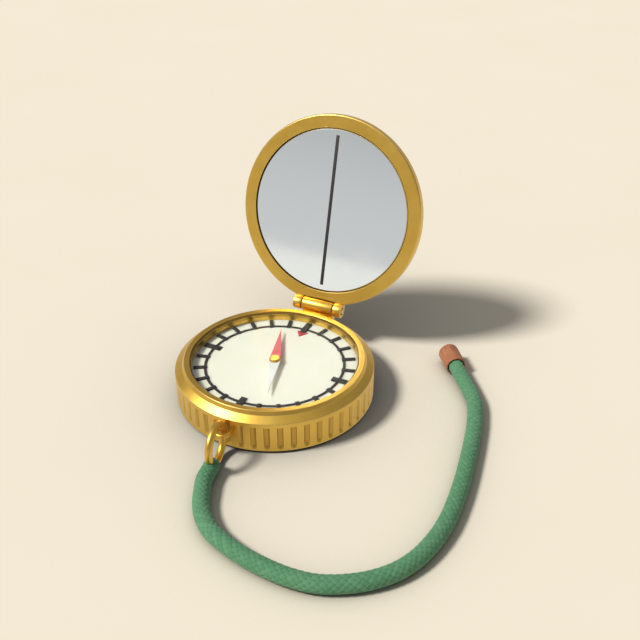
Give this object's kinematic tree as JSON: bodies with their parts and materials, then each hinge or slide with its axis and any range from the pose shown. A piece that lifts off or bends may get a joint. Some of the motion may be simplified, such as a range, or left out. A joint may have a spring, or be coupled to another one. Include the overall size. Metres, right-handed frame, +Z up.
{
  "type": "pocket compass",
  "caption": "Round brass pocket compass with a fluted case, a hinged mirror lid with a sighting line, a free-turning needle and a cord lanyard on a wire ring.",
  "frame": {"origin": "middle of the flat base, where the case stands", "axes": "+Z up along the case and needle axis, +Y towards the lid hinge and dial north, -Y towards the lanyard ring"},
  "size_m": [0.0882, 0.1065, 0.0654],
  "materials": {
    "turned_brass": "turned and lacquered brass",
    "brass_wire": "drawn brass wire",
    "crystal_glass": "clear mineral glass",
    "brown_rubber": "moulded rubber gasket",
    "cream_enamel": "cream enamel",
    "dark_ink": "printed dark enamel",
    "red_paint": "red lacquer",
    "white_paint": "white lacquer",
    "steel": "hardened steel",
    "jewel": "polished bearing stone",
    "mirror_glass": "silvered glass",
    "foam_pad": "adhesive foam",
    "green_cord": "braided nylon cord",
    "stained_wood": "turned and stained hardwood"
  },
  "bodies": {
    "case": {"case_body": "turned_brass", "bezel_ring": "turned_brass", "crystal": "crystal_glass", "crystal_gasket": "brown_rubber", "dial_plate": "cream_enamel", "dial_scale": "dark_ink", "north_mark": "red_paint", "pivot_post": "steel", "hinge_bracket": "turned_brass", "bracket_screw_left": "turned_brass", "bracket_screw_right": "turned_brass", "hinge_pin": "turned_brass", "lanyard_staple": "brass_wire"},
    "lid": {"lid_shell": "turned_brass", "mirror": "mirror_glass", "mirror_pad": "foam_pad", "sight_line": "dark_ink"},
    "needle": {"needle_north": "red_paint", "needle_south": "white_paint", "needle_cap": "turned_brass", "needle_jewel": "jewel"},
    "ring": {"lanyard_ring": "brass_wire", "lanyard_eye": "green_cord", "lanyard_cord": "green_cord", "lanyard_bead": "stained_wood"}
  },
  "joints": [
    {"name": "lid_hinge", "type": "hinge", "parent": "case", "child": "lid", "pos_m": [0, 0.0283, 0.0116], "axis": [1, 0, 0], "range_deg": [0, 104.75]},
    {"name": "needle_spin", "type": "hinge", "parent": "case", "child": "needle", "pos_m": [0, 0, 0.00995], "axis": [0, 0, 1], "continuous": true},
    {"name": "ring_swing", "type": "hinge", "parent": "case", "child": "ring", "pos_m": [0, -0.02825, 0.0061], "axis": [0, 0, 1], "range_deg": [-70, 50]}
  ]
}
